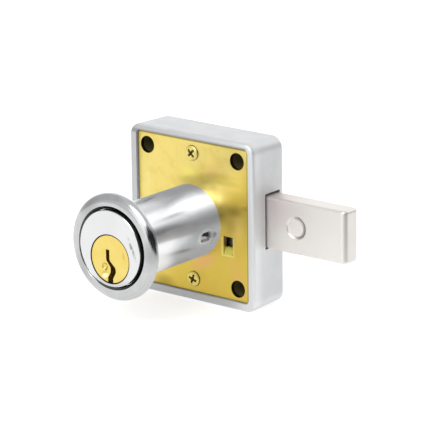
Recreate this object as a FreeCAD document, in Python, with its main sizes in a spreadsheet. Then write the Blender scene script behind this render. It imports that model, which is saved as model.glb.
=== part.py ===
"""Furniture lock: a cast case with a cover plate, a pin-tumbler barrel that stands out of it, and a dead bolt
that a crank on the plug draws in through half a turn.

X points along the bolt, towards its end. Y points from the barrel's face into the case. Z is up.
The origin is the barrel's axis on the front of the cover plate. All sizes are millimetres.
"""
import FreeCAD, Part
import math
import os
import re
import Sketcher

from FreeCAD import Placement, Rotation, Vector

doc = FreeCAD.newDocument("furniture_lock")

SIZES = {
    "case_width": 40.6,
    "case_height": 44.3,
    "case_centre_x": 0.56,
    "case_centre_z": 1.02,
    "case_depth": 12.5,
    "case_rim": 0.78,
    "case_corner": 3.0,
    "case_draft": 1.4,
    "case_front_round": 0.9,
    "case_back_round": 0.5,
    "wall_left": 2.2,
    "wall_right": 1.8,
    "wall_bottom": 2.2,
    "wall_top": 1.5,
    "wall_back": 1.4,
    "plate_thickness": 1.2,
    "plate_gap": 0.08,
    "plate_corner": 1.2,
    "hole_inset_left": 3.19,
    "hole_inset_right": 4.01,
    "hole_inset_bottom": 3.33,
    "hole_inset_top": 3.77,
    "hole_radius": 2.25,
    "hole_boss_wall": 1.3,
    "plate_screw_x": 0.5,
    "plate_screw_inset_top": 3.72,
    "plate_screw_inset_bottom": 3.48,
    "plate_screw_radius": 1.2,
    "plate_screw_length": 6.0,
    "plate_screw_hole_gap": 0.2,
    "screw_head_radius": 2.05,
    "screw_head_height": 0.65,
    "screw_boss_radius": 2.6,
    "cross_length": 2.7,
    "cross_width": 0.6,
    "cross_depth": 0.9,
    "top_cross_turn": 45.0,
    "bottom_cross_turn": 20.0,
    "still_gap": 0.02,
    "window_centre_x": 12.0,
    "window_width": 3.0,
    "window_rise": 2.9,
    "tab_gap": 0.3,
    "tab_slit": 0.15,
    "tab_reach": 4.0,
    "tab_bend": 2.0,
    "tab_seat": 0.5,
    "barrel_radius": 9.5,
    "barrel_length": 31.9,
    "head_step": 0.3,
    "head_length": 2.5,
    "head_edge": 0.15,
    "plug_drop": 2.7,
    "plug_radius": 6.05,
    "plug_inset": 0.12,
    "running_gap": 0.05,
    "rear_wall": 1.6,
    "tail_radius": 4.0,
    "spigot_radius": 6.4,
    "spigot_flats": 11.2,
    "collar_radius": 7.3,
    "collar_thickness": 0.75,
    "first_pin": 5.4,
    "pin_pitch": 4.0,
    "pin_radius": 1.4,
    "pin_gap": 0.06,
    "key_pin_tip": 0.7,
    "keyway_floor": 2.2,
    "driver_length": 2.4,
    "cover_thickness": 1.2,
    "cover_width": 3.8,
    "cover_margin": 2.6,
    "spring_wire": 0.24,
    "spring_turns": 3.5,
    "spring_end_gap": 0.02,
    "keyway_length": 23.3,
    "keyway_top": 2.35,
    "keyway_upper_bend": 0.4,
    "keyway_middle_top": 2.1,
    "keyway_middle_bottom": 3.4,
    "keyway_lower_bend": 4.9,
    "keyway_lean": 0.8,
    "keyway_jog": 0.9,
    "keyway_narrow": 1.1,
    "keyway_wide": 1.7,
    "keyway_round": 1.1,
    "dimple_x": 1.7,
    "dimple_drop": 2.2,
    "dimple_radius": 0.9,
    "dimple_floor": 0.22,
    "dimple_depth": 0.4,
    "retainer_centre": 5.6,
    "retainer_length": 4.2,
    "retainer_height": 2.4,
    "retainer_gap": 0.1,
    "retainer_tilt": 9.0,
    "retainer_sunk": 1.0,
    "retainer_bite": 0.6,
    "groove_depth": 0.95,
    "ring_width": 3.85,
    "ring_depth": 1.9,
    "ring_set_back": 0.75,
    "ring_flare": 0.75,
    "ring_throat": 1.0,
    "ring_gap": 0.1,
    "ring_edge_round": 1.3,
    "ring_sheet": 0.95,
    "ring_foot": 0.9,
    "ring_hollow_lean": 0.3,
    "crank_radius": 11.85,
    "crank_thickness": 2.2,
    "crank_gap": 0.2,
    "crank_tip_radius": 2.4,
    "crank_arm_width": 4.4,
    "hub_flats": 9.0,
    "hub_corner_radius": 5.5,
    "tail_square": 5.0,
    "square_depth": 1.2,
    "crank_screw_radius": 1.2,
    "crank_screw_length": 5.0,
    "crank_pin_radius": 1.5,
    "crank_pin_neck": 1.2,
    "crank_pin_short": 0.65,
    "leaf_thickness": 0.3,
    "leaf_width": 1.7,
    "leaf_span": 17.8,
    "post_width": 1.6,
    "post_height": 2.1,
    "rib_height": 3.95,
    "rib_width": 1.5,
    "bolt_end": 45.6,
    "bolt_top": 8.8,
    "bolt_bottom": -4.95,
    "bolt_thickness": 5.65,
    "bolt_back_gap": 0.1,
    "bolt_edge_round": 0.8,
    "bolt_end_round": 1.5,
    "bolt_shoulder_gap": 0.45,
    "slot_gap": 0.1,
    "slot_wall": 1.2,
    "guide_gap": 0.2,
    "mouth_gap_top": 0.55,
    "mouth_gap_front": 0.4,
    "insert_x": 30.2,
    "insert_z": 2.1,
    "insert_radius": 2.5,
    "insert_rim": 0.6,
    "insert_bevel": 0.3,
    "key_pin_length_1": 5.2,
    "key_pin_length_2": 6.4,
    "key_pin_length_3": 5.8,
    "key_pin_length_4": 7.0,
    "key_pin_length_5": 5.5,
}
PIN_NUMBERS = (1, 2, 3, 4, 5)
CLOSE = 1e-4
NEARLY_ALONG = 0.98

sheet = doc.addObject("Spreadsheet::Sheet", "sizes")
for row, (alias, value) in enumerate(SIZES.items(), start=1):
    sheet.set(f"A{row}", alias)
    sheet.set(f"B{row}", str(value))
    sheet.setAlias(f"B{row}", alias)
doc.recompute()

# Planes that several pieces share, each worked out from the sheet
CASE_LEFT = "(case_centre_x - case_width / 2)"
CASE_RIGHT = "(case_centre_x + case_width / 2)"
CASE_BOTTOM = "(case_centre_z - case_height / 2)"
CASE_TOP = "(case_centre_z + case_height / 2)"
RECESS_LEFT = f"({CASE_LEFT} + wall_left)"
RECESS_RIGHT = f"({CASE_RIGHT} - wall_right)"
RECESS_BOTTOM = f"({CASE_BOTTOM} + wall_bottom)"
RECESS_TOP = f"({CASE_TOP} - wall_top)"
INSIDE_BACK = "(case_depth - case_rim - wall_back)"
BOLT_BACK = f"({INSIDE_BACK} - bolt_back_gap)"
BOLT_FRONT = f"({BOLT_BACK} - bolt_thickness)"
PLUG_TOP = "(plug_radius - plug_drop)"
CHAMBER_RADIUS = "(pin_radius + pin_gap)"
CHAMBER_ROOF = "(barrel_radius - cover_thickness)"
COLLAR_BACK = "(plate_thickness + collar_thickness)"
CRANK_FRONT = f"({COLLAR_BACK} + crank_gap)"
CRANK_BACK = f"({CRANK_FRONT} + crank_thickness)"
TAB_TOP = "(-plug_drop - crank_arm_width / 2 - tab_gap)"
TAB_SILL = f"({TAB_TOP} - tab_bend)"
LEAF_TOP = "(-plug_drop - hub_flats / 2 - running_gap)"
HEAD_RADIUS = "(barrel_radius + head_step)"
HEAD_BACK = "(head_length - barrel_length)"
RING_BORE = f"({HEAD_RADIUS} + ring_gap)"
RING_RADIUS = f"({RING_BORE} + ring_width)"
RING_FRONT = "(ring_set_back - barrel_length)"
RING_BACK = f"({RING_FRONT} + ring_depth)"
# The bolt moves in step with the plug's angle, while the pin goes round a circle. MOST_LEAD is the widest
# that the two part, as a share of the crank's radius. The slot's sides leave its foot at SLOT_LEAN from
# the upright.
MOST_LEAD = "(sqrt(1 - 4 / pi ^ 2) - 1 + asin(2 / pi) / 90 deg)"
SLOT_LEAN = "atan(2 / pi)"
SLOT_HALF = f"(crank_radius * {MOST_LEAD} + crank_pin_radius + slot_gap)"
TAIL_TOP = "(crank_radius - plug_drop + crank_pin_radius + slot_gap + slot_wall)"
TAIL_BOTTOM = "(-plug_drop - crank_pin_radius - slot_gap - slot_wall)"
TAIL_END = f"(crank_radius - {SLOT_HALF} - slot_wall)"
SHOULDER = f"({RECESS_RIGHT} - bolt_shoulder_gap)"

ALONG_X = Rotation(Vector(0, 1, 0), 90)
ALONG_Y = Rotation(Vector(1, 0, 0), -90)
ALONG_Z = Rotation()


def formula(text):
    """Every name with an underscore is a cell of the sheet."""
    return re.sub(r"\b([a-z]+(?:_[a-z0-9]+)+)\b", r"sizes.\1", text)


def bind(thing, **formulas):
    for name, text in formulas.items():
        thing.setExpression(name, formula(text))
    return thing


def put(thing, turn, x="0", y="0", z="0"):
    thing.Placement = Placement(Vector(), turn)
    for axis, text in zip("xyz", (x, y, z)):
        thing.setExpression(f"Placement.Base.{axis}", formula(text))
    return thing


def rod(name, radius, start, end, x="0", z="0"):
    """A cylinder along Y from start to end."""
    piece = doc.addObject("Part::Cylinder", name)
    bind(piece, Radius=radius, Height=f"({end}) - ({start})")
    return put(piece, ALONG_Y, x, start, z)


def post(name, radius, foot, head, x="0", y="0"):
    """A cylinder along Z from foot to head."""
    piece = doc.addObject("Part::Cylinder", name)
    bind(piece, Radius=radius, Height=f"({head}) - ({foot})")
    return put(piece, ALONG_Z, x, y, foot)


def cone(name, first_radius, last_radius, start, end, x="0", z="0"):
    """A cone along Y from start to end."""
    piece = doc.addObject("Part::Cone", name)
    bind(piece, Radius1=first_radius, Radius2=last_radius, Height=f"({end}) - ({start})")
    return put(piece, ALONG_Y, x, start, z)


def block(name, left, right, front, back, low, high):
    piece = doc.addObject("Part::Box", name)
    bind(piece, Length=f"({right}) - ({left})", Width=f"({back}) - ({front})", Height=f"({high}) - ({low})")
    return put(piece, ALONG_Z, left, front, low)


def turned(thing, angle, x="0", z="0"):
    """Turns a piece about Y by an angle in degrees, then sets it at x and z."""
    put(thing, Rotation(Vector(0, 1, 0), value(angle)), x, "0", z)
    thing.setExpression("Placement.Rotation.Angle", formula(angle))
    return thing


def fuse(name, *pieces):
    whole = doc.addObject("Part::MultiFuse", name)
    whole.Shapes = list(pieces)
    whole.Refine = True
    return whole


def cut(name, base, *tools):
    tool = tools[0] if len(tools) == 1 else fuse(f"{name}_tools", *tools)
    whole = doc.addObject("Part::Cut", name)
    whole.Base = base
    whole.Tool = tool
    whole.Refine = True
    return whole


def common(name, first, second):
    whole = doc.addObject("Part::Common", name)
    whole.Base = first
    whole.Tool = second
    return whole


def group(name, *pieces):
    whole = doc.addObject("Part::Compound", name)
    whole.Links = list(pieces)
    return whole


def sketch(body, name, role, offset="0"):
    """An empty sketch on one of the body's own planes. On XZ_Plane the offset counts towards -Y."""
    plane = next(part for part in body.Origin.OriginFeatures if part.Role == role)
    drawing = body.newObject("Sketcher::SketchObject", name)
    drawing.AttachmentSupport = [(plane, "")]
    drawing.MapMode = "FlatFace"
    drawing.setExpression("AttachmentOffset.Base.z", formula(offset))
    return drawing


def hold(drawing, kind, geometry, point, text):
    """Holds one coordinate of a point of the drawing at a formula's value."""
    number = drawing.addConstraint(Sketcher.Constraint(kind, -1, 1, geometry, point, 1.0))
    drawing.setExpression(f"Constraints[{number}]", formula(text))


def outline(drawing, points):
    """A closed outline of straight lines through points, each a pair of formulas."""
    values = [tuple(sheet.evalExpression(formula(text)) for text in point) for point in points]
    first = drawing.GeometryCount
    count = len(points)
    for this in range(count):
        start = Vector(*values[this], 0)
        end = Vector(*values[(this + 1) % count], 0)
        drawing.addGeometry(Part.LineSegment(start, end), False)
    for this in range(count):
        following = first + (this + 1) % count
        drawing.addConstraint(Sketcher.Constraint("Coincident", first + this, 2, following, 1))
    for this, point in enumerate(points):
        hold(drawing, "DistanceX", first + this, 1, point[0])
        hold(drawing, "DistanceY", first + this, 1, point[1])


def box_outline(drawing, left, right, low, high):
    outline(drawing, [(left, low), (right, low), (right, high), (left, high)])


def circle(drawing, x, y, radius):
    number = drawing.addGeometry(Part.Circle(Vector(1, 1, 0), Vector(0, 0, 1), 1), False)
    hold(drawing, "DistanceX", number, 3, x)
    hold(drawing, "DistanceY", number, 3, y)
    size = drawing.addConstraint(Sketcher.Constraint("Radius", number, 1.0))
    drawing.setExpression(f"Constraints[{size}]", formula(radius))


def feature(body, kind, name, drawing, length, backwards=False):
    """A Pad or Pocket of a drawing. Backwards turns its direction round."""
    made = body.newObject(f"PartDesign::{kind}", name)
    made.Profile = drawing
    made.Reversed = backwards
    made.setExpression("Length", formula(length))
    doc.recompute()
    return made


def rounded(body, name, base, radius, wanted):
    """A fillet on the edges of base that wanted picks."""
    edges = [f"Edge{number}" for number, edge in enumerate(base.Shape.Edges, start=1) if wanted(edge)]
    made = body.newObject("PartDesign::Fillet", name)
    made.Base = (base, edges)
    made.setExpression("Radius", formula(radius))
    doc.recompute()
    return made


def value(text):
    """What a formula comes to, as a plain number."""
    return float(sheet.evalExpression(formula(text)))


def along_y(edge):
    """True for an edge that runs into the case, with or without the case's draft."""
    ends = [vertex.Point for vertex in edge.Vertexes]
    return len(ends) == 2 and abs((ends[1] - ends[0]).normalize().y) > NEARLY_ALONG


def flat_at(edge, y):
    """True for an edge that lies in the plane at y."""
    return abs(edge.BoundBox.YMin - y) < CLOSE and abs(edge.BoundBox.YMax - y) < CLOSE


def screw_places():
    """The two plate screws, as a name and a height."""
    return (("top", f"({RECESS_TOP} - plate_screw_inset_top)"),
            ("bottom", f"({RECESS_BOTTOM} + plate_screw_inset_bottom)"))


def mounting_places():
    """The four mounting holes, as pairs of formulas."""
    for x in (f"{RECESS_LEFT} + hole_inset_left", f"{RECESS_RIGHT} - hole_inset_right"):
        for z in (f"{RECESS_BOTTOM} + hole_inset_bottom", f"{RECESS_TOP} - hole_inset_top"):
            yield x, z


def make_case():
    """The cast box: an open front with a rim, bosses for the screws, guides for the bolt and posts for the
    leaf."""
    body = doc.addObject("PartDesign::Body", "case")
    shell = sketch(body, "case_outline", "XZ_Plane", "case_rim")
    box_outline(shell, CASE_LEFT, CASE_RIGHT, CASE_BOTTOM, CASE_TOP)
    block_of_case = feature(body, "Pad", "case_block", shell, "case_depth", backwards=True)
    bind(block_of_case, TaperAngle="-case_draft")
    doc.recompute()
    corners = rounded(body, "case_corners", block_of_case, "case_corner", along_y)

    recess = sketch(body, "recess_outline", "XZ_Plane", "case_rim")
    box_outline(recess, RECESS_LEFT, RECESS_RIGHT, RECESS_BOTTOM, RECESS_TOP)
    hollow = feature(body, "Pocket", "case_hollow", recess, "case_depth - wall_back")
    inner_left = value(RECESS_LEFT)
    inner_right = value(RECESS_RIGHT)

    def inner_corner(edge):
        middle = edge.CenterOfMass.x
        beside = min(abs(middle - inner_left), abs(middle - inner_right)) < CLOSE
        return along_y(edge) and beside

    rounded(body, "recess_corners", hollow, "plate_corner", inner_corner)

    bosses = sketch(body, "boss_outline", "XZ_Plane", f"-{INSIDE_BACK} - still_gap")
    for x, z in mounting_places():
        circle(bosses, x, z, "hole_radius + hole_boss_wall")
    for _, z in screw_places():
        circle(bosses, "plate_screw_x", z, "screw_boss_radius")
    feature(body, "Pad", "case_bosses", bosses, f"{INSIDE_BACK} + still_gap - plate_thickness")

    guides = sketch(body, "guide_outline", "XZ_Plane", f"-{INSIDE_BACK} - still_gap")
    upper_guide = f"{TAIL_TOP} + guide_gap"
    lower_guide = f"{TAIL_BOTTOM} - guide_gap"
    box_outline(guides, f"{RECESS_LEFT} - still_gap", f"{RECESS_RIGHT} + still_gap",
                upper_guide, f"{upper_guide} + rib_width")
    box_outline(guides, f"{RECESS_LEFT} - still_gap", f"{RECESS_RIGHT} + still_gap",
                f"{lower_guide} - rib_width", lower_guide)
    feature(body, "Pad", "bolt_guides", guides, "rib_height + still_gap")

    posts = sketch(body, "leaf_post_outline", "XZ_Plane", f"-{INSIDE_BACK} - still_gap")
    slits = sketch(body, "leaf_slit_outline", "XZ_Plane", f"-{CRANK_FRONT}")
    for side in ("-", ""):
        inner = f"{side}(leaf_span / 2 - post_width / 2)"
        outer = f"{side}(leaf_span / 2 + post_width / 2)"
        low = f"{LEAF_TOP} - leaf_thickness / 2 - post_height / 2"
        box_outline(posts, inner, outer, low, f"{low} + post_height")
        box_outline(slits, f"{side}(leaf_span / 2 - post_width)", f"{side}(leaf_span / 2 + still_gap)",
                    f"{LEAF_TOP} - leaf_thickness - still_gap", f"{LEAF_TOP} + still_gap")
    feature(body, "Pad", "leaf_posts", posts, f"{INSIDE_BACK} + still_gap - {CRANK_FRONT}")
    feature(body, "Pocket", "leaf_slits", slits, "leaf_width + 2 * crank_gap")

    holes = sketch(body, "hole_outline", "XZ_Plane", "case_rim")
    for x, z in mounting_places():
        circle(holes, x, z, "hole_radius")
    feature(body, "Pocket", "mounting_holes", holes, "2 * case_depth")
    pilots = sketch(body, "pilot_outline", "XZ_Plane", "case_rim")
    for _, z in screw_places():
        circle(pilots, "plate_screw_x", z, "plate_screw_radius + still_gap")
    feature(body, "Pocket", "pilot_holes", pilots, "case_rim + plate_screw_length + plate_thickness")

    mouth = sketch(body, "mouth_outline", "YZ_Plane", f"{RECESS_RIGHT} - plate_corner")
    box_outline(mouth, f"{BOLT_FRONT} - mouth_gap_front", INSIDE_BACK,
                "bolt_bottom - guide_gap", "bolt_top + mouth_gap_top")
    feature(body, "Pocket", "bolt_mouth", mouth, "wall_right + 2 * plate_corner", backwards=True)

    rim = value("-case_rim")
    back = value("case_depth - case_rim")
    left = value(CASE_LEFT)
    right = value(CASE_RIGHT)
    low = value(CASE_BOTTOM)
    high = value(CASE_TOP)
    corner = value("case_corner")

    def outer_front(edge):
        box = edge.BoundBox
        reach = min(box.XMin - left, right - box.XMax, box.ZMin - low, high - box.ZMax)
        return flat_at(edge, rim) and abs(reach) < CLOSE

    def outer_back(edge):
        middle = edge.CenterOfMass
        margin = min(middle.x - left, right - middle.x, middle.z - low, high - middle.z)
        return flat_at(edge, back) and margin < corner / 2

    front = rounded(body, "front_edge", body.Tip, "case_front_round", outer_front)
    rounded(body, "back_edge", front, "case_back_round", outer_back)
    return body


def make_cover_plate():
    """The pressed plate in the rim. The tabs bent in from its windows are what the crank's arm comes to rest
    on."""
    body = doc.addObject("PartDesign::Body", "flat_plate")
    blank = sketch(body, "plate_outline", "XZ_Plane")
    box_outline(blank, f"{RECESS_LEFT} + plate_gap", f"{RECESS_RIGHT} - plate_gap",
                f"{RECESS_BOTTOM} + plate_gap", f"{RECESS_TOP} - plate_gap")
    flat = feature(body, "Pad", "plate_blank", blank, "plate_thickness", backwards=True)
    rounded(body, "plate_corners", flat, "plate_corner", along_y)
    holes = sketch(body, "plate_holes", "XZ_Plane")
    for x, z in mounting_places():
        circle(holes, x, z, "hole_radius")
    for _, z in screw_places():
        circle(holes, "plate_screw_x", z, "plate_screw_radius + plate_screw_hole_gap")
    for side in ("-", ""):
        near = f"{side}(window_centre_x - window_width / 2)"
        far = f"{side}(window_centre_x + window_width / 2)"
        box_outline(holes, near, far, TAB_SILL, f"{TAB_TOP} + window_rise")
    feature(body, "Pocket", "plate_cuts", holes, "plate_thickness")
    opening = common("spigot_opening",
                     rod("opening_round", "spigot_radius + still_gap", "-plate_thickness",
                         "2 * plate_thickness", z="-plug_drop"),
                     block("opening_flats", "-spigot_flats / 2 - still_gap", "spigot_flats / 2 + still_gap",
                           "-plate_thickness", "2 * plate_thickness",
                           "-plug_drop - 2 * spigot_radius", "2 * spigot_radius - plug_drop"))
    tabs = [bent_tab("left", "-"), bent_tab("right", "")]
    return fuse("cover_plate", cut("pierced_plate", body, opening), *tabs)


def bent_tab(side_name, side):
    """A tab of the plate's own sheet that bends into the case from its window's lower edge."""
    body = doc.addObject("PartDesign::Body", f"tab_{side_name}")
    left = f"{side}window_centre_x - window_width / 2 + tab_slit"
    drawing = sketch(body, f"tab_{side_name}_outline", "YZ_Plane", left)
    under = f"{TAB_TOP} - plate_thickness"
    foot = f"{TAB_SILL} - tab_seat"
    outline(drawing, [("0", foot), ("plate_thickness", foot), ("plate_thickness", under),
                      ("tab_reach", under), ("tab_reach", TAB_TOP), ("0", TAB_TOP)])
    strip = feature(body, "Pad", f"tab_{side_name}_strip", drawing, "window_width - 2 * tab_slit")
    top = value(TAB_TOP)
    thickness = value("plate_thickness")

    def outer_bend(edge):
        middle = edge.CenterOfMass
        return abs(middle.y) < CLOSE and abs(middle.z - top) < CLOSE

    def inner_bend(edge):
        middle = edge.CenterOfMass
        return abs(middle.y - thickness) < CLOSE and abs(middle.z - top + thickness) < CLOSE

    bent = rounded(body, f"tab_{side_name}_outer_bend", strip, "tab_bend", outer_bend)
    rounded(body, f"tab_{side_name}_inner_bend", bent, "tab_bend - plate_thickness", inner_bend)
    return body


def make_plate_screws():
    """Two pan-head screws with cross recesses, one above the other."""
    screws = []
    for place, z in screw_places():
        dome = doc.addObject("Part::Sphere", f"{place}_dome")
        sphere = "((screw_head_radius ^ 2 + screw_head_height ^ 2) / (2 * screw_head_height))"
        bind(dome, Radius=sphere)
        put(dome, ALONG_Y, "plate_screw_x", f"{sphere} - screw_head_height", z)
        head = common(f"{place}_head", dome,
                      rod(f"{place}_head_side", "screw_head_radius", "-screw_head_height", "0",
                          "plate_screw_x", z))
        shank = rod(f"{place}_shank", "plate_screw_radius", "0", "plate_screw_length",
                    "plate_screw_x", z)
        bars = [block(f"{place}_{way}_bar", f"-{half_x}", half_x, "-2 * screw_head_height",
                      "cross_depth - screw_head_height", f"-{half_z}", half_z)
                for way, half_x, half_z in (("flat", "cross_length / 2", "cross_width / 2"),
                                            ("upright", "cross_width / 2", "cross_length / 2"))]
        cross = turned(fuse(f"{place}_cross", *bars), f"{place}_cross_turn", "plate_screw_x", z)
        screws.append(cut(f"{place}_screw", fuse(f"{place}_screw_blank", head, shank), cross))
    return group("plate_screws", *screws)


def pin_y(number):
    """How deep along the barrel a pin stands."""
    return f"(first_pin + pin_pitch * {number - 1} - barrel_length)"


def stadium(name, length, height, inner, outer, y):
    """A long round-ended bar that points out from the barrel's axis, lies along Y and is turned down by the
    tilt."""
    half = f"({length} / 2 - {height} / 2)"
    pieces = []
    for end, sign in (("front", "-"), ("rear", "+")):
        disc = doc.addObject("Part::Cylinder", f"{name}_{end}")
        bind(disc, Radius=f"{height} / 2", Height=f"({outer}) - ({inner})")
        pieces.append(put(disc, ALONG_X, inner, f"{y} {sign} {half}"))
    pieces.append(block(f"{name}_middle", inner, outer, f"{y} - {half}", f"{y} + {half}",
                        f"-{height} / 2", f"{height} / 2"))
    return turned(fuse(name, *pieces), "retainer_tilt")


def make_housing():
    """The barrel: a head at the front, the plug's bore below its axis, the pin chambers above, and a spigot
    that goes through the plate and is staked out behind it."""
    barrel = rod("barrel", "barrel_radius", HEAD_BACK, "0")
    head = rod("head", HEAD_RADIUS, "head_edge - barrel_length", HEAD_BACK)
    edge = cone("head_front", f"{HEAD_RADIUS} - head_edge", HEAD_RADIUS, "-barrel_length",
                "head_edge - barrel_length")
    spigot = common("spigot",
                    rod("spigot_round", "spigot_radius", "-rear_wall", "plate_thickness", z="-plug_drop"),
                    block("spigot_flat_sides", "-spigot_flats / 2", "spigot_flats / 2",
                          "-rear_wall", "plate_thickness",
                          "-plug_drop - 2 * spigot_radius", "2 * spigot_radius - plug_drop"))
    collar = rod("collar", "collar_radius", "plate_thickness", COLLAR_BACK, z="-plug_drop")
    blank = fuse("housing_blank", barrel, head, edge, spigot, collar)
    bore = rod("plug_bore", "plug_radius + running_gap", "-2 * barrel_length", "-rear_wall", z="-plug_drop")
    mouth = cone("bore_mouth", "plug_radius + running_gap + 2 * head_edge", "plug_radius + running_gap",
                 "-barrel_length - head_edge", "head_edge - barrel_length", z="-plug_drop")
    journal = rod("journal_bore", "tail_radius + running_gap", "-2 * rear_wall", f"2 * {COLLAR_BACK}",
                  z="-plug_drop")
    slot = stadium("retainer_slot", "(retainer_length + 2 * retainer_gap)",
                   "(retainer_height + 2 * retainer_gap)", "plug_radius / 2", "2 * barrel_radius",
                   "(-retainer_centre)")
    strip_bed = block("strip_bed", "-cover_width / 2", "cover_width / 2", f"{pin_y(1)} - cover_margin",
                      f"{pin_y(5)} + cover_margin", CHAMBER_ROOF, "2 * barrel_radius")
    chambers = [post(f"housing_chamber_{number}", CHAMBER_RADIUS, "0", CHAMBER_ROOF, y=pin_y(number))
                for number in PIN_NUMBERS]
    return cut("cylinder_housing", blank, bore, mouth, journal, slot, strip_bed, *chambers)


def make_chamber_cover():
    """The strip that closes the chambers, as round on top as the barrel."""
    return common("chamber_cover",
                  rod("strip_round", "barrel_radius", "-barrel_length", "0"),
                  block("strip_blank", "still_gap - cover_width / 2", "cover_width / 2 - still_gap",
                        f"{pin_y(1)} - cover_margin + still_gap", f"{pin_y(5)} + cover_margin - still_gap",
                        CHAMBER_ROOF, "2 * barrel_radius"))


def make_retainer():
    """The key that drops through the barrel's side slot into the plug's groove."""
    return stadium("plug_retainer", "retainer_length", "retainer_height", "(plug_radius - retainer_bite)",
                   "barrel_radius - retainer_sunk", "(-retainer_centre)")


def make_trim_ring():
    """The ring round the barrel's head: a throat that opens towards the front, a crest, a round shoulder and
    a hollow back."""
    body = doc.addObject("PartDesign::Body", "trim_ring")
    profile = sketch(body, "ring_profile", "XY_Plane")
    outline(profile, [
        (RING_BORE, RING_BACK),
        (RING_BORE, f"{RING_FRONT} + ring_throat"),
        (f"{RING_BORE} + ring_flare", RING_FRONT),
        (RING_RADIUS, RING_FRONT),
        (RING_RADIUS, RING_BACK),
        (f"{RING_RADIUS} - ring_foot", RING_BACK),
        (f"{RING_RADIUS} - ring_foot - ring_hollow_lean", f"{RING_FRONT} + ring_sheet"),
        (f"{RING_BORE} + ring_foot + ring_hollow_lean", f"{RING_FRONT} + ring_sheet"),
        (f"{RING_BORE} + ring_foot", RING_BACK)])
    spun = body.newObject("PartDesign::Revolution", "ring_spun")
    spun.Profile = profile
    spun.ReferenceAxis = (profile, ["V_Axis"])
    spun.Angle = 360.0
    doc.recompute()
    front = value(RING_FRONT)
    radius = value(RING_RADIUS)

    def shoulder(edge):
        return flat_at(edge, front) and abs(edge.BoundBox.XMax - radius) < CLOSE

    rounded(body, "ring_shoulder", spun, "ring_edge_round", shoulder)
    return body


def make_plug():
    """The brass cylinder that the key turns: keyway, pin chambers, a groove for the retainer, a round tail in
    the rear wall and a square that carries the crank."""
    square_end = f"({CRANK_FRONT} + square_depth)"
    blank = fuse("plug_blank",
                 rod("plug_round", "plug_radius", "plug_inset - barrel_length", "-rear_wall - running_gap",
                     z="-plug_drop"),
                 rod("plug_tail", "tail_radius", "-rear_wall - running_gap", CRANK_FRONT, z="-plug_drop"),
                 block("plug_square", "-tail_square / 2", "tail_square / 2", CRANK_FRONT, square_end,
                       "-tail_square / 2 - plug_drop", "tail_square / 2 - plug_drop"))
    groove_front = "(-retainer_centre - retainer_length / 2 - 2 * running_gap)"
    groove_back = "(retainer_length / 2 - retainer_centre + 2 * running_gap)"
    groove = cut("plug_groove",
                 rod("groove_outside", "plug_radius + groove_depth", groove_front, groove_back,
                     z="-plug_drop"),
                 rod("groove_floor", "plug_radius - groove_depth", groove_front, groove_back,
                     z="-plug_drop"))
    screw_hole = rod("plug_screw_hole", "crank_screw_radius + still_gap",
                     f"{square_end} - crank_screw_length - crank_gap", f"{square_end} + crank_gap",
                     z="-plug_drop")
    dimple = cone("keyway_dimple", "dimple_radius", "dimple_floor", "plug_inset - barrel_length",
                  "plug_inset + dimple_depth - barrel_length", "-dimple_x", "-plug_drop - dimple_drop")
    chambers = [post(f"plug_chamber_{number}", CHAMBER_RADIUS, "-plug_drop - keyway_floor",
                     "2 * plug_radius", y=pin_y(number)) for number in PIN_NUMBERS]
    return cut("plug", blank, make_keyway(), groove, screw_hole, dimple, *chambers)


def make_keyway():
    """The key's channel: narrow at the top, stepped to the right in the middle, open at the plug's
    underside."""
    body = doc.addObject("PartDesign::Body", "keyway")
    drawing = sketch(body, "keyway_outline", "XZ_Plane", "barrel_length + running_gap")
    upper_left = "(-keyway_lean - keyway_narrow / 2)"
    upper_right = "(keyway_narrow / 2 - keyway_lean)"
    under = "-plug_drop - plug_radius - keyway_wide"
    turns = [(upper_left, "keyway_top"), (upper_left, "-keyway_upper_bend"),
             ("(keyway_jog - keyway_wide / 2)", "-keyway_middle_top"),
             ("(keyway_jog - keyway_wide / 2)", "-keyway_middle_bottom"),
             ("(-keyway_wide / 2)", "-keyway_lower_bend")]
    left_side = [(x, f"{z} - plug_drop") for x, z in turns]
    right_side = [(f"{x} + keyway_wide", z) for x, z in reversed(left_side[2:])]
    right_side += [(upper_right, left_side[1][1]), (upper_right, left_side[0][1])]
    outline(drawing, left_side + [("-keyway_wide / 2", under), ("keyway_wide / 2", under)] + right_side)
    run = feature(body, "Pad", "keyway_run", drawing, "keyway_length + running_gap", backwards=True)
    highest = value("-plug_drop - keyway_upper_bend")
    lowest = value("-plug_drop - keyway_lower_bend")

    def bend(edge):
        height = edge.CenterOfMass.z
        return along_y(edge) and lowest - CLOSE < height < highest + CLOSE

    rounded(body, "keyway_bends", run, "keyway_round", bend)
    return body


KEY_PIN_TOP = "(sqrt(plug_radius ^ 2 - pin_radius ^ 2) - plug_drop - running_gap)"
DRIVER_BOTTOM = f"({PLUG_TOP} + running_gap)"
DRIVER_TOP = f"({DRIVER_BOTTOM} + driver_length)"


def make_key_pin(number):
    """A lower pin with a blunt cone for a tip, standing where the right key lifts it to the shear line."""
    tip = f"({PLUG_TOP} - key_pin_length_{number})"
    body = post(f"key_pin_{number}_body", "pin_radius", f"{tip} + key_pin_tip", KEY_PIN_TOP, y=pin_y(number))
    point = doc.addObject("Part::Cone", f"key_pin_{number}_tip")
    bind(point, Radius1="pin_radius - key_pin_tip", Radius2="pin_radius", Height="key_pin_tip")
    put(point, ALONG_Z, "0", pin_y(number), tip)
    return fuse(f"key_pin_{number}", body, point)


def make_driver_pin(number):
    return post(f"driver_pin_{number}", "pin_radius", DRIVER_BOTTOM, DRIVER_TOP, y=pin_y(number))


def arc(start, corner, end):
    """The arc that leaves start towards corner and reaches end from there."""
    weight = (end - start).Length / (2 * (corner - start).Length)
    middle = (start + corner * (2 * weight) + end) * (1 / (2 + 2 * weight))
    return Part.Arc(start, middle, end).toShape()


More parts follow.
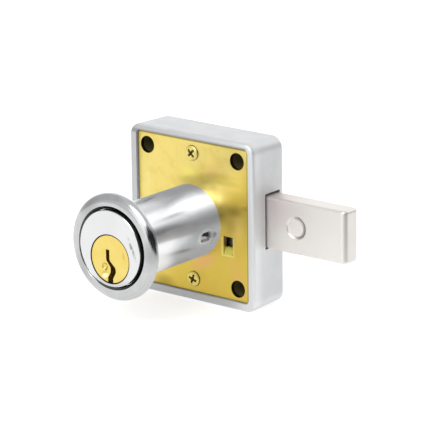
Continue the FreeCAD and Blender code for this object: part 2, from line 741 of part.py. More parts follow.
def coil_path(radius, pitch, turns):
    """A coil round Z from the origin up: two arcs to a quarter turn, each going on as the last ends."""
    rise = pitch / (2 * math.pi)

    def at(turn):
        angle = 2 * math.pi * turn
        place = Vector(radius * math.cos(angle), radius * math.sin(angle), pitch * turn)
        course = Vector(-radius * math.sin(angle), radius * math.cos(angle), rise).normalize()
        return place, course

    arcs = []
    quarters = round(4 * turns)
    for quarter in range(quarters):
        start, leaving = at(quarter / 4)
        end, arriving = at((quarter + 1) / 4)
        span = end - start
        both = leaving + arriving
        bend = 4 - both.dot(both)
        reach = (math.sqrt(span.dot(both) ** 2 + bend * span.dot(span)) - span.dot(both)) / bend
        first_corner = start + leaving * reach
        second_corner = end - arriving * reach
        meeting = (first_corner + second_corner) * 0.5
        arcs.append(arc(start, first_corner, meeting))
        arcs.append(arc(meeting, second_corner, end))
    return Part.Wire(arcs)


def make_pin_spring(number):
    """A coil of round wire between its driver pin and the cover strip."""
    low = f"({DRIVER_TOP} + spring_wire / 2 + spring_end_gap)"
    high = f"({CHAMBER_ROOF} - spring_wire / 2 - spring_end_gap)"
    turns = value("spring_turns")
    path = doc.addObject("Part::Feature", f"pin_spring_{number}_path")
    pitch = value(f"({high} - {low}) / spring_turns")
    path.Shape = coil_path(value("pin_radius - spring_wire"), pitch, turns)
    put(path, ALONG_Z, "0", pin_y(number), low)
    section = doc.addObject("Part::Circle", f"pin_spring_{number}_wire")
    bind(section, Radius="spring_wire / 2")
    put(section, ALONG_Y, "pin_radius - spring_wire", pin_y(number), low)
    doc.recompute()
    wound = doc.addObject("Part::Sweep", f"pin_spring_{number}")
    wound.Sections = [section]
    wound.Spine = (path, [f"Edge{count}" for count in range(1, len(path.Shape.Edges) + 1)])
    wound.Solid = True
    wound.Frenet = False
    return wound


def make_crank():
    """The arm on the plug's tail: a hub with four flats for the leaf, an arm and a round tip for the pin."""
    hub = common("hub",
                 rod("hub_round", "hub_corner_radius", CRANK_FRONT, CRANK_BACK, z="-plug_drop"),
                 block("hub_flat_sides", "-hub_flats / 2", "hub_flats / 2", CRANK_FRONT, CRANK_BACK,
                       "-plug_drop - hub_flats / 2", "hub_flats / 2 - plug_drop"))
    arm = block("arm", "0", "crank_radius", CRANK_FRONT, CRANK_BACK,
                "-plug_drop - crank_arm_width / 2", "crank_arm_width / 2 - plug_drop")
    tip = rod("arm_tip", "crank_tip_radius", CRANK_FRONT, CRANK_BACK, "crank_radius", "-plug_drop")
    half_square = "(tail_square / 2 + still_gap)"
    socket_floor = f"({CRANK_FRONT} + square_depth)"
    socket = block("square_socket", f"-{half_square}", half_square, f"{CRANK_FRONT} - crank_gap",
                   socket_floor, f"-plug_drop - {half_square}", f"{half_square} - plug_drop")
    sink = cone("countersink", "crank_screw_radius + still_gap",
                "crank_screw_radius + still_gap + crank_thickness - square_depth", socket_floor, CRANK_BACK,
                z="-plug_drop")
    pin_hole = rod("crank_pin_hole", "crank_pin_neck + still_gap", f"{CRANK_FRONT} - crank_gap",
                   f"{CRANK_BACK} + crank_gap", "crank_radius", "-plug_drop")
    return cut("crank", fuse("crank_blank", hub, arm, tip), socket, sink, pin_hole)


def make_crank_pin():
    """The drive pin: a neck riveted in the arm's tip and a thicker body in the bolt's slot."""
    return fuse("crank_pin",
                rod("crank_pin_shank", "crank_pin_neck", CRANK_FRONT, CRANK_BACK,
                    "crank_radius", "-plug_drop"),
                rod("crank_pin_body", "crank_pin_radius", CRANK_BACK, f"{BOLT_BACK} - crank_pin_short",
                    "crank_radius", "-plug_drop"))


def make_crank_screw():
    """A countersunk screw, its slotted head flush with the crank."""
    seat = f"({CRANK_FRONT} + square_depth)"
    head = cone("crank_screw_head", "crank_screw_radius",
                "crank_screw_radius + crank_thickness - square_depth", seat, CRANK_BACK, z="-plug_drop")
    shank = rod("crank_screw_shank", "crank_screw_radius", f"{seat} - crank_screw_length", seat,
                z="-plug_drop")
    drive = block("crank_screw_drive", "-2 * crank_screw_radius", "2 * crank_screw_radius",
                  f"{CRANK_BACK} - cross_width", f"{CRANK_BACK} + cross_width",
                  "-plug_drop - cross_width / 2", "cross_width / 2 - plug_drop")
    return cut("crank_screw", fuse("crank_screw_blank", head, shank), drive)


def make_detent_spring():
    """A leaf between the two posts. It bears on a flat of the hub and bends as the hub's corners go by."""
    return block("detent_spring", "-leaf_span / 2", "leaf_span / 2", f"{CRANK_FRONT} + crank_gap",
                 f"{CRANK_FRONT} + crank_gap + leaf_width", f"{LEAF_TOP} - leaf_thickness", LEAF_TOP)


def make_bolt():
    """The bar, with a taller tail inside the case. The crank pin works in the tail's slot, whose foot closes
    to the pin's own width so that the bolt is held at both ends of its travel."""
    body = doc.addObject("PartDesign::Body", "bolt")
    drawing = sketch(body, "bolt_outline", "XZ_Plane", f"-{BOLT_FRONT}")
    outline(drawing, [
        (TAIL_END, TAIL_BOTTOM), (SHOULDER, TAIL_BOTTOM), (SHOULDER, "bolt_bottom"),
        ("bolt_end", "bolt_bottom"), ("bolt_end", "bolt_top"), (SHOULDER, "bolt_top"),
        (SHOULDER, TAIL_TOP), (TAIL_END, TAIL_TOP)])
    bar = feature(body, "Pad", "bolt_bar", drawing, "bolt_thickness", backwards=True)
    end = value("bolt_end")
    shoulder_x = value(SHOULDER)

    def end_corner(edge):
        box = edge.BoundBox
        upright = box.ZMax - box.ZMin > max(box.YMax - box.YMin, box.XMax - box.XMin)
        return upright and abs(box.XMax - end) < CLOSE

    nosed = rounded(body, "bolt_end_corners", bar, "bolt_end_round", end_corner)

    def long_edge(edge):
        box = edge.BoundBox
        along = box.XMax - box.XMin
        return along > (end - shoulder_x) / 2 and abs(box.XMin - shoulder_x) < CLOSE

    rounded(body, "bolt_long_edges", nosed, "bolt_edge_round", long_edge)
    slot = sketch(body, "slot_outline", "XZ_Plane", f"-{BOLT_FRONT}")
    seat = "(crank_pin_radius + slot_gap)"
    foot_x = f"{seat} * cos({SLOT_LEAN})"
    foot_z = f"-plug_drop - {seat} * sin({SLOT_LEAN})"
    side_z = f"{foot_z} + ({SLOT_HALF} - {foot_x}) / tan({SLOT_LEAN})"
    roof = f"crank_radius - plug_drop + {seat}"
    outline(slot, [
        (f"crank_radius - {foot_x}", foot_z), (f"crank_radius + {foot_x}", foot_z),
        (f"crank_radius + {SLOT_HALF}", side_z), (f"crank_radius + {SLOT_HALF}", roof),
        (f"crank_radius - {SLOT_HALF}", roof), (f"crank_radius - {SLOT_HALF}", side_z)])
    feature(body, "Pocket", "drive_slot", slot, "bolt_thickness")
    foot = sketch(body, "slot_foot_outline", "XZ_Plane", f"-{BOLT_FRONT}")
    circle(foot, "crank_radius", "-plug_drop", seat)
    feature(body, "Pocket", "slot_foot", foot, "bolt_thickness")
    hole = sketch(body, "insert_outline", "XZ_Plane", f"-{BOLT_FRONT}")
    circle(hole, "insert_x", "insert_z", "insert_radius + still_gap")
    bored = feature(body, "Pocket", "insert_hole", hole, "bolt_thickness")
    face = value(BOLT_FRONT)
    middle = value("insert_x")

    def insert_mouth(edge):
        round_edge = isinstance(edge.Curve, Part.Circle) and flat_at(edge, face)
        return round_edge and abs(edge.Curve.Center.x - middle) < CLOSE

    edges = [f"Edge{number}" for number, edge in enumerate(bored.Shape.Edges, start=1) if insert_mouth(edge)]
    chamfer = body.newObject("PartDesign::Chamfer", "insert_chamfer")
    chamfer.Base = (bored, edges)
    bind(chamfer, Size="insert_rim")
    return body


def make_bolt_insert():
    """The hardened pin through the bolt, with a small bevel round its front."""
    bevel = "(insert_radius - insert_bevel)"
    front = f"({BOLT_FRONT} + insert_bevel)"
    return fuse("bolt_insert",
                rod("insert_body", "insert_radius", front, BOLT_BACK, "insert_x", "insert_z"),
                cone("insert_bevel", bevel, "insert_radius", BOLT_FRONT, front, "insert_x", "insert_z"))


pieces = [make_case(), make_cover_plate(), make_plate_screws(), make_housing(), make_chamber_cover(),
          make_retainer(), make_trim_ring(), make_plug(), make_crank(), make_crank_pin(), make_crank_screw(),
          make_detent_spring(), make_bolt(), make_bolt_insert()]
for number in PIN_NUMBERS:
    pieces += [make_key_pin(number), make_driver_pin(number), make_pin_spring(number)]
doc.recompute()

for thing in doc.Objects:
    if "Invalid" in thing.State or "Error" in thing.State:
        raise RuntimeError(f"{thing.Label} did not build: {thing.State}")
for piece in pieces:
    shape = piece.Shape
    if shape.isNull() or not shape.isValid() or shape.Volume <= 0:
        raise RuntimeError(f"{piece.Label} is not a sound solid")

os.makedirs("parts", exist_ok=True)
for piece in pieces:
    piece.Shape.exportStep(f"parts/{piece.Label}.step")
    print(f"{piece.Label}: {len(piece.Shape.Solids)} solid(s), {piece.Shape.Volume:.1f} cubic millimetres")
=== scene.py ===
"""The furniture lock's looks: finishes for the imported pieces, a turned trim ring, pan-head screws with cross
recesses, and the studio and camera of the photograph.

Lengths are in millimetres in the lock's own frame until they go into a mesh, which is in metres.
X points along the bolt, Y into the case and Z up. The origin is the barrel's axis on the cover plate.
"""
import math

import bmesh
import bpy
import numpy as np
from mathutils import Matrix, Vector


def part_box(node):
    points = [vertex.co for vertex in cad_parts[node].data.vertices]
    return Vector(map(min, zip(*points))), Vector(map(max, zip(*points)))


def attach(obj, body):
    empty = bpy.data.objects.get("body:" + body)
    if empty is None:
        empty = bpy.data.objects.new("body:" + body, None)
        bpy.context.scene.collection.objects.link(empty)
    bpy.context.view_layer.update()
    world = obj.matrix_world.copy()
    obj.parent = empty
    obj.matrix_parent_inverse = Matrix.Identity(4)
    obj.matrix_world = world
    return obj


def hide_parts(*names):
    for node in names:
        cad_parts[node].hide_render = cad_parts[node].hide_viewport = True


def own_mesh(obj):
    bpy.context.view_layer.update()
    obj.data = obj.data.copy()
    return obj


MM = 0.001

# The camera, in degrees and millimetres, as fitted to the edges in the photograph
AZIMUTH = 39.24
ELEVATION = 15.88
ROLL = -0.70
DISTANCE = 750.7
AIM_RIGHT = 6.02
AIM_UP = 1.32
LENS = 245.7
SENSOR = 36.0

# The room. A level of 1 is white.
ROOM_LEVEL = 0.78
FLOOR_PAINT = 0.6
FLOOR_GLOW = 0.62
FLOOR_GLOW_IN_METAL = 0.50
# Polished metal sees the floor's far right dim: where that starts and ends along X, and along Y, in metres
DIM_FROM = (0.055, 0.16)
DIM_BEFORE = (0.05, -0.01)
# The floor's paint where it is dim
FLOOR_DIM = 0.04
# The floor lies this far under the case, in millimetres
FLOOR_GAP = 0.02
# The plate's grey in a mirror, away from the barrel's upper right side and beside it
PLATE_GREY_IN_METAL = (0.56, 0.84)

# The soft lamp to the camera's left and above it: its place and size in millimetres, and its watts
LAMP_PLACE = (120, -745, 660)
LAMP_SIZE = (400, 400)
LAMP_WATTS = 2.0

# Soft panels and black cards in the room: where each lies, the angles in degrees within which it is whole and
# beyond which it is gone, and how bright it is
PANELS = (
    ((-0.61, 0.745, 0.27), 22, 44, 1.10),
    ((-0.75, -0.35, 0.55), 18, 42, 0.60),
    ((0.31, 0.745, 0.57), 10, 26, 1.45),
    ((0.27, -0.745, 0.60), 14, 28, 2.00),
    ((-0.10, -0.97, 0.20), 8, 18, 1.50),
    ((0.66, 0.745, 0.08), 12, 27, 0.15),
    ((0.30, -0.95, 0.03), 7, 13, 0.04),
    ((0.60, -0.76, 0.20), 13, 22, 0.02),
    ((0.86, -0.42, 0.25), 14, 24, 0.02),
    ((0.72, -0.56, 0.42), 8, 15, 0.02),
    ((0.95, 0.05, 0.25), 14, 24, 0.02),
)

# Places that the finishes and the new pieces share with the solids
PLUG_AXIS = -2.7
BORE_MOUTH = 6.38
DIMPLE = (-1.7, -4.9)
DIMPLE_RADIUS = 0.85
HEAD_RADIUS = 9.8
PLATE_SCREWS = (("screw_above", 17.95, 45.0), ("screw_below", -15.45, 20.0))
PLATE_SCREW_X = 0.5
RING_FORWARD = 0.2
# Where painted shade darkens the case's inside, front to back
CAVITY = (1.3, 11.4)

# Colours of the plate's yellow film where it is thicker or thinner, also laid on as painted reflection of the
# barrel and painted shade
DARK_GOLD = (0.42, 0.30, 0.045, 1)
OLD_GOLD = (0.62, 0.465, 0.13, 1)
STRAW = (1.0, 0.75, 0.22, 1)
PALE_STRAW = (0.97, 0.86, 0.40, 1)
DARK_OLIVE = (0.52, 0.40, 0.06, 1)
LEMON = (0.96, 0.84, 0.20, 1)
PINK = (0.84, 0.44, 0.22, 1)
OLIVE = (0.60, 0.50, 0.10, 1)

# Where they lie: the middle, the radius and the soft edge in millimetres, how many times as high as wide, the
# lean in degrees, the share, and the colour
FILM_AND_LIGHT_SPOTS = (
    # Painted reflection of the barrel beside its upper right: dark gold and olive round a small pale painted
    # highlight
    (10.8, 9.3, 3.0, 2.2, 0.55, -10.0, 0.7, OLD_GOLD),
    (12.0, 11.5, 3.4, 1.8, 0.22, -4.0, 0.6, OLIVE),
    (9.2, 7.0, 0.6, 1.1, 1.3, 20.0, 0.7, PALE_STRAW),
    (7.6, 9.6, 1.4, 1.2, 0.8, 0.0, 0.7, OLD_GOLD),
    (15.2, 0.8, 1.2, 2.0, 2.2, 0.0, 0.9, STRAW),
    (7.0, 16.0, 2.0, 2.5, 0.7, 0.0, 0.6, STRAW),
    (14.8, -12.0, 1.4, 2.6, 2.2, -20.0, 0.35, PINK),
    (-14.5, 9.0, 1.2, 1.6, 3.0, 8.0, 0.35, PALE_STRAW),
    # Painted reflection of the barrel at its right, dark gold
    (14.4, 4.6, 1.6, 2.0, 0.6, -9.0, 0.7, DARK_GOLD),
    (18.3, 6.0, 1.2, 1.5, 0.4, -9.0, 0.5, DARK_GOLD),
    # Painted reflection: a broad dark olive band above the barrel's right
    (6.8, 12.1, 6.2, 3.4, 0.24, -8.0, 0.55, DARK_OLIVE),
    (-0.7, 13.0, 2.2, 2.4, 0.5, -10.0, 0.8, LEMON),
    (-1.0, 10.6, 2.5, 1.8, 0.4, -14.0, 0.6, OLIVE),
    (7.0, 13.6, 1.8, 2.6, 0.6, -20.0, 0.25, PINK),
    (13.4, 1.4, 0.9, 2.0, 2.6, 4.0, 0.2, PINK),
    (12.2, -1.2, 0.7, 1.4, 1.6, 0.0, 0.3, OLIVE),
    # Painted reflection of the barrel: pink below it
    (4.0, -10.2, 3.6, 3.0, 0.4, -29.0, 0.65, PINK),
    (10.4, -3.5, 0.6, 1.4, 3.0, 0.0, 0.4, PINK),
    # Painted shade by the rim at the lower left
    (-9.5, -18.0, 3.0, 2.5, 0.5, 0.0, 0.7, DARK_GOLD),
)

# Where painted shade, standing for dark reflections, darkens the ring's chrome: the middle, the radius and the
# soft edge, how many times as high as wide, and the share
RING_SHADE_SPOTS = (
    (-7.5, 9.8, 2.6, 3.0, 1.0, 0.85),
    (-10.2, -7.6, 2.6, 3.0, 1.3, 0.8),
    (12.6, 0.6, 1.6, 1.6, 1.8, 1.0),
)

# Marks on the plug's face with a painted highlight among them, wear on the barrel's face and shade on the
# barrel's
# upper right: the middle, the radius and the soft edge, how many times as high as wide, and the lean
GLINT = (-1.75, -7.2, 1.0, 0.25, 0.6, -25.0)
DARK_STROKE = (-1.9, -6.35, 0.95, 0.12, 0.12, -12.0)
EDGE_MARK = (4.4, -1.2, 0.25, 0.25, 3.2, -14.0)
WORN_PLACE = (7.35, 1.0, 0.35, 0.25, 7.0, -24.0)
UPPER_RIGHT = (4.2, 8.5, 2.4, 2.0, 1.0, 0.0)

# The four mounting holes: their middle, how far each stands from it, and their radius
HOLES_X = 0.35
HOLES_Z = 1.15
HOLES_ACROSS = 14.7
HOLES_UP = 16.75
HOLE_RADIUS = 2.25

# The right lanced window's outline on the plate, and its bent tab: where it starts and ends upwards, and how
# deep it goes
WINDOW_LOW = (10.25, -7.05)
WINDOW_HIGH = (13.45, -2.9)
TAB_START = -7.0
TAB_END = -5.2
TAB_DEPTH = 1.3

# The retaining key's slot in the barrel's side: its middle, and the half length and half height of the pale
# halo round it
SLOT_Y = -5.6
SLOT_Z = -1.5
HALO_LONG = 2.7
HALO_HIGH = 1.8

# The springs over the driver pins
PINS = 5
SPRING_WIRE = 0.24
SPRING_TURNS = 3.5

# Points of a mesh nearer than this are one, in metres
SAME_PLACE = 1e-7

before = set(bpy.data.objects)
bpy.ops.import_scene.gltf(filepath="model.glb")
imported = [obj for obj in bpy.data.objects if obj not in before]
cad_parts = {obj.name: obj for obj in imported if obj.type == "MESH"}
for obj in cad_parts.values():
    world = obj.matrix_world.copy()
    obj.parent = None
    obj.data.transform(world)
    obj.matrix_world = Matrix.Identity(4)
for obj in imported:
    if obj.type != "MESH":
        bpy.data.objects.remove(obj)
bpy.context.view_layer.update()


def node_box(node):
    """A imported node's lowest and highest corner, in millimetres."""
    low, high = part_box(node)
    return np.array(low) / MM, np.array(high) / MM


def add(tree, kind, inputs=None, **settings):
    """A shader node. An input is a number, a colour or another node's output."""
    node = tree.nodes.new(kind)
    for name, setting in settings.items():
        setattr(node, name, setting)
    for name, given in (inputs or {}).items():
        if isinstance(given, bpy.types.NodeSocket):
            tree.links.new(given, node.inputs[name])
        else:
            node.inputs[name].default_value = given
    return node


def calculate(tree, kind, first, second=0.0):
    """A Math node's output."""
    return add(tree, "ShaderNodeMath", {0: first, 1: second}, operation=kind).outputs[0]


def blend_colours(tree, share, first, second):
    """The first colour where the share is 0, the second where it is 1."""
    node = add(tree, "ShaderNodeMix", {"Factor": share}, data_type="RGBA")
    # A Mix node has an A and a B of each kind, and only those for colours are meant
    for name, given in (("A", first), ("B", second)):
        socket = next(s for s in node.inputs if s.name == name and s.type == "RGBA")
        if isinstance(given, bpy.types.NodeSocket):
            tree.links.new(given, socket)
        else:
            socket.default_value = given
    return next(s for s in node.outputs if s.type == "RGBA")


def blend_numbers(tree, share, first, second):
    """The first number where the share is 0, the second where it is 1."""
    node = add(tree, "ShaderNodeMapRange", {"Value": share, "To Min": first, "To Max": second})
    return node.outputs["Result"]


def ramp(tree, given, low, high):
    """0 up to low, 1 from high on and a smooth rise between them. It falls where low is the greater."""
    node = add(tree, "ShaderNodeMapRange", {"Value": given, "From Min": low, "From Max": high},
               interpolation_type="SMOOTHSTEP")
    return node.outputs["Result"]


def grey(level, warmth=0.0):
    """A grey with a little more red and less blue as its warmth grows."""
    return (level * (1 + warmth), level, level * (1 - warmth), 1.0)


class Finish:
    """A material with its pattern in millimetres of the lock's own frame. A ramp's two numbers are where a
    tone starts and where it is whole."""

    def __init__(self, name, **sockets):
        """Bare metal at first. Sockets are the shader's own, with a low line for each space."""
        self.material = bpy.data.materials.new(name)
        self.material.use_nodes = True
        self.tree = self.material.node_tree
        self.shader = self.tree.nodes["Principled BSDF"]
        self.shader.inputs["Metallic"].default_value = 1.0
        for socket, given in sockets.items():
            self.set(socket.replace("_", " "), given)
        place = add(self.tree, "ShaderNodeTexCoord").outputs["Object"]
        mapping = add(self.tree, "ShaderNodeMapping", {"Vector": place, "Scale": (1 / MM,) * 3})
        self.place = mapping.outputs["Vector"]
        parts = add(self.tree, "ShaderNodeSeparateXYZ", {"Vector": self.place})
        self.x, self.y, self.z = parts.outputs

    def set(self, socket, given):
        """Gives the shader a number, a colour or a node's output."""
        if isinstance(given, bpy.types.NodeSocket):
            self.tree.links.new(given, self.shader.inputs[socket])
        else:
            self.shader.inputs[socket].default_value = given

    def noise(self, scale, detail=2.0, roughness=0.5, stretch=(1, 1, 1), turn=(0, 0, 0)):
        """Clouds between 0 and 1, finer as the scale grows, stretched and turned."""
        place = add(self.tree, "ShaderNodeMapping",
                    {"Vector": self.place, "Scale": stretch, "Rotation": turn})
        node = add(self.tree, "ShaderNodeTexNoise", {"Vector": place.outputs["Vector"], "Scale": scale,
                                                     "Detail": detail, "Roughness": roughness})
        return node.outputs["Fac"]

    def math(self, kind, first, second=0.0):
        """A Math node's output."""
        return calculate(self.tree, kind, first, second)

    def ramp(self, given, low, high):
        """0 up to low, 1 from high on and a smooth rise between them."""
        return ramp(self.tree, given, low, high)

    def blend(self, share, first, second):
        """The first number where the share is 0, the second where it is 1."""
        return blend_numbers(self.tree, share, first, second)

    def both(self, *shares):
        """The product of several shares."""
        whole = shares[0]
        for share in shares[1:]:
            whole = self.math("MULTIPLY", whole, share)
        return whole

    def paint(self, colour, share, over):
        """A colour with another laid over it in some share."""
        return blend_colours(self.tree, share, colour, over)

    def length(self, across, upward):
        """The root of the sum of two squares."""
        square = self.math("ADD", self.math("MULTIPLY", across, across),
                           self.math("MULTIPLY", upward, upward))
        return self.math("SQRT", square)

    def from_axis(self, x=0.0, z=0.0):
        """How far a point lies from a line along Y, in millimetres."""
        return self.length(self.math("SUBTRACT", self.x, x), self.math("SUBTRACT", self.z, z))

    def from_holes(self):
        """How far a point lies from the nearest mounting hole's axis, in millimetres."""
        aside = self.math("ABSOLUTE", self.math("SUBTRACT", self.x, HOLES_X))
        above = self.math("ABSOLUTE", self.math("SUBTRACT", self.z, HOLES_Z))
        return self.length(self.math("SUBTRACT", aside, HOLES_ACROSS),
                           self.math("SUBTRACT", above, HOLES_UP))

    def inside(self, low, high, soft):
        """1 inside a box of the lock's frame, 0 outside it, with edges soft millimetres wide."""
        share = 1.0
        for axis, start, end in zip((self.x, self.y, self.z), low, high):
            after = self.ramp(axis, start - soft, start + soft)
            before = self.ramp(axis, end + soft, end - soft)
            share = self.math("MULTIPLY", share, self.math("MULTIPLY", after, before))
        return share

    def spot(self, x, z, radius, soft, tall=1.0, lean=0.0):
        """1 inside an ellipse on the lock's front, tall times as high as wide and leaning by an angle in
        degrees."""
        turn = math.radians(lean)
        across = self.math("SUBTRACT", self.x, x)
        upward = self.math("SUBTRACT", self.z, z)
        along = self.math("ADD", self.math("MULTIPLY", across, math.cos(turn)),
                          self.math("MULTIPLY", upward, -math.sin(turn)))
        up = self.math("ADD", self.math("MULTIPLY", across, math.sin(turn) / tall),
                       self.math("MULTIPLY", upward, math.cos(turn) / tall))
        return self.ramp(self.length(along, up), radius + soft, radius - soft)

    def bump(self, height, depth, strength, under=None):
        """Raises the surface by height times depth millimetres, over another bump where one is given."""
        given = {"Height": height, "Distance": depth * MM, "Strength": strength}
        if under is not None:
            given["Normal"] = under
        node = add(self.tree, "ShaderNodeBump", given)
        self.set("Normal", node.outputs["Normal"])
        return node.outputs["Normal"]


def cast_zinc():
    """Satin chrome on a die casting: an even fine grain outside, dull inside the case and darkened there by
    painted shade.
    The rim has painted light and shade of its own, with a dark line of shade over the plate, the side beside
    it has painted light, and painted shade darkens the holes brown."""
    finish = Finish("satin_cast_zinc")
    line_of_shade = (0.32, 0.33, 0.36, 1)
    hole_shade = (0.22, 0.19, 0.08, 1)
    low, high = node_box("cover_plate")
    # Painted shade: the case's inside is darkened almost to black
    shaded_inside = finish.inside((low[0], CAVITY[0], low[2]), (high[0], CAVITY[1], high[2]), 0.08)
    cloud = finish.noise(0.16, 3.0)
    outside = finish.paint(grey(0.76, -0.012), finish.ramp(cloud, 0.3, 0.7), grey(0.81, -0.008))
    rim = finish.ramp(finish.y, -0.5, -0.7)
    # Painted light and shade on the rim: darker to the left, lighter to the right
    rim_shading = finish.paint(grey(0.63, -0.01), finish.ramp(finish.x, -16.0, 18.0), grey(0.78, -0.01))
    # Painted highlight at the rim's upper right
    upper_right_highlight = finish.both(finish.ramp(finish.x, 14.0, 19.0), finish.ramp(finish.z, -8.0, 12.0))
    rim_shading = finish.paint(rim_shading, upper_right_highlight, grey(0.88, -0.008))
    # Painted shade along the rim's foot
    foot = finish.both(finish.ramp(finish.z, low[2] + 0.4, low[2]), finish.ramp(finish.x, 19.0, 12.0))
    rim_shading = finish.paint(rim_shading, foot, grey(0.56, -0.01))
    over_plate = finish.both(finish.ramp(finish.z, high[2] + 0.65, high[2] + 0.05),
                             finish.ramp(finish.z, high[2] - 1.0, high[2] - 0.5),
                             finish.ramp(finish.x, high[0] + 0.2, high[0] - 1.0), 0.75)
    rim_shading = finish.paint(rim_shading, over_plate, line_of_shade)
    outside = finish.paint(outside, rim, rim_shading)
    # Painted light on the case's side next to the rim
    lit_beside_rim = finish.both(finish.ramp(finish.x, 20.2, 20.7), finish.ramp(finish.y, 3.5, 0.5), 0.7)
    outside = finish.paint(outside, lit_beside_rim, grey(0.96, -0.01))
    colour = finish.paint(outside, shaded_inside, grey(0.018, 0.2))
    # Painted shade darkens the bores of the mounting holes
    shaded_bore = finish.both(finish.ramp(finish.from_holes(), HOLE_RADIUS + 0.3, HOLE_RADIUS + 0.2),
                        finish.ramp(finish.y, 0.9, 1.1), finish.ramp(finish.y, 11.68, 11.6))
    finish.set("Base Color", finish.paint(colour, shaded_bore, hole_shade))
    grain = finish.noise(7.0, 3.0, 0.6)
    finish.set("Roughness", finish.blend(shaded_inside, finish.blend(grain, 0.52, 0.66), 0.8))
    finish.bump(grain, 0.012, 0.35)
    return finish.material


def film_and_painted_light(finish):
    """Yellow passivated zinc: straw yellow that drifts to gold, olive and pink where the film is thicker, with
    spots of painted reflection of the barrel and painted shade laid over it.
    """
    straw = (0.91, 0.74, 0.235, 1)
    gold = (0.76, 0.56, 0.10, 1)
    olive_streak = (0.72, 0.62, 0.13, 1)
    brown_cloud = (0.70, 0.50, 0.08, 1)
    # The film turns golder to the right and downwards
    film = finish.noise(0.055, 2.0, 0.5, turn=(0.3, 0.2, 0.9))
    slope = finish.math("ADD", finish.math("MULTIPLY", finish.x, 0.025),
                        finish.math("MULTIPLY", finish.z, -0.02))
    drift = finish.math("ADD", finish.math("ADD", film, slope), -0.2)
    colour = finish.paint(straw, finish.ramp(drift, 0.1, 0.6), gold)
    streak = finish.noise(0.35, 3.0, 0.6, stretch=(1.0, 1.0, 0.25), turn=(0, 0.5, 0))
    streaks = finish.math("MULTIPLY", finish.ramp(streak, 0.5, 0.75), 0.3)
    colour = finish.paint(colour, streaks, olive_streak)
    cloud = finish.noise(0.16, 4.0, 0.6, stretch=(1.0, 1.0, 1.6), turn=(0, 0.6, 0))
    clouds = finish.math("MULTIPLY", finish.ramp(cloud, 0.45, 0.7), 0.35)
    colour = finish.paint(colour, clouds, brown_cloud)
    # Film tints, painted reflection and painted shade, spot by spot
    for x, z, radius, soft, tall, lean, share, spot_colour in FILM_AND_LIGHT_SPOTS:
        spot = finish.math("MULTIPLY", finish.spot(x, z, radius, soft, tall, lean), share)
        colour = finish.paint(colour, spot, spot_colour)
    return colour


def finish_yellow(finish, colour, depth):
    """The film's gloss and faint waves. A mirror beside it sees it grey, as the bright barrel in the
    photograph does."""
    beside_barrel = finish.both(finish.ramp(finish.x, 3.5, 8.5), finish.ramp(finish.z, -4.0, 4.0))
    away, beside = PLATE_GREY_IN_METAL
    mirrored_grey = finish.paint(grey(away), beside_barrel, grey(beside))
    mirrored = add(finish.tree, "ShaderNodeLightPath").outputs["Is Glossy Ray"]
    finish.set("Base Color", finish.paint(colour, mirrored, mirrored_grey))
    mottle = finish.noise(2.2, 3.0, 0.55)
    finish.set("Roughness", finish.blend(mottle, 0.38, 0.48))
    finish.bump(finish.noise(0.9, 2.0), depth, 0.5)
    return finish.material


def yellow_plate_steel():
    """The plate's film, with a painted highlight round the windows, painted shade along its edge and in the
    holes.
    """
    finish = Finish("yellow_plate")
    edge_shade = (0.20, 0.16, 0.04, 1)
    window_highlight = (0.90, 0.82, 0.22, 1)
    tab_yellow = (0.76, 0.68, 0.12, 1)
    hole_shade = (0.05, 0.043, 0.015, 1)
    # Depths well in front of the plate and well behind it
    ahead, behind = -1, 9
    colour = film_and_painted_light(finish)
    low, high = node_box("cover_plate")
    # Painted shade along the plate's edge, under the rim
    on_front = finish.ramp(finish.y, 0.2, 0.1)
    middle = finish.inside((low[0] + 0.2, ahead, low[2] + 0.2), (high[0] - 0.8, behind, high[2] - 0.62), 0.12)
    edge = finish.both(on_front, finish.math("SUBTRACT", 1.0, middle), 0.75)
    colour = finish.paint(colour, edge, edge_shade)
    # Painted highlight round the window's outline
    opening = finish.inside((WINDOW_LOW[0], ahead, WINDOW_LOW[1]),
                            (WINDOW_HIGH[0], behind, WINDOW_HIGH[1]), 0.08)
    around = finish.inside((WINDOW_LOW[0] - 0.5, ahead, WINDOW_LOW[1] - 0.5),
                           (WINDOW_HIGH[0] + 0.4, behind, WINDOW_HIGH[1] + 0.3), 0.15)
    highlighted_outline = finish.both(on_front, around, finish.math("SUBTRACT", 1.0, opening), 0.7)
    colour = finish.paint(colour, highlighted_outline, window_highlight)
    tab = finish.inside((WINDOW_LOW[0], 0.01, TAB_START), (WINDOW_HIGH[0], TAB_DEPTH, TAB_END), 0.05)
    colour = finish.paint(colour, tab, tab_yellow)
    # Painted shade darkens the mounting holes
    shaded_hole = finish.both(finish.ramp(finish.from_holes(), HOLE_RADIUS + 0.12, HOLE_RADIUS + 0.04),
                       finish.ramp(finish.y, 0.05, 0.15))
    colour = finish.paint(colour, shaded_hole, hole_shade)
    finish.set("Metallic", finish.blend(tab, 1.0, 0.25))
    return finish_yellow(finish, colour, 0.02)


def yellow_screw_steel():
    """The same film on the screws, paler on the pan, with brown painted shade in the cross recess and round
    the edge.
    """
    finish = Finish("yellow_screw")
    pan_yellow = (0.93, 0.80, 0.25, 1)
    recess_shade = (0.10, 0.065, 0.02, 1)
    colour = finish.paint(film_and_painted_light(finish), 0.6, pan_yellow)
    shade = add(finish.tree, "ShaderNodeAttribute", attribute_name="shade").outputs["Fac"]
    # Painted shade in the cross recess, round the head's rim and under the head
    colour = finish.paint(colour, shade, recess_shade)
    return finish_yellow(finish, colour, 0.01)


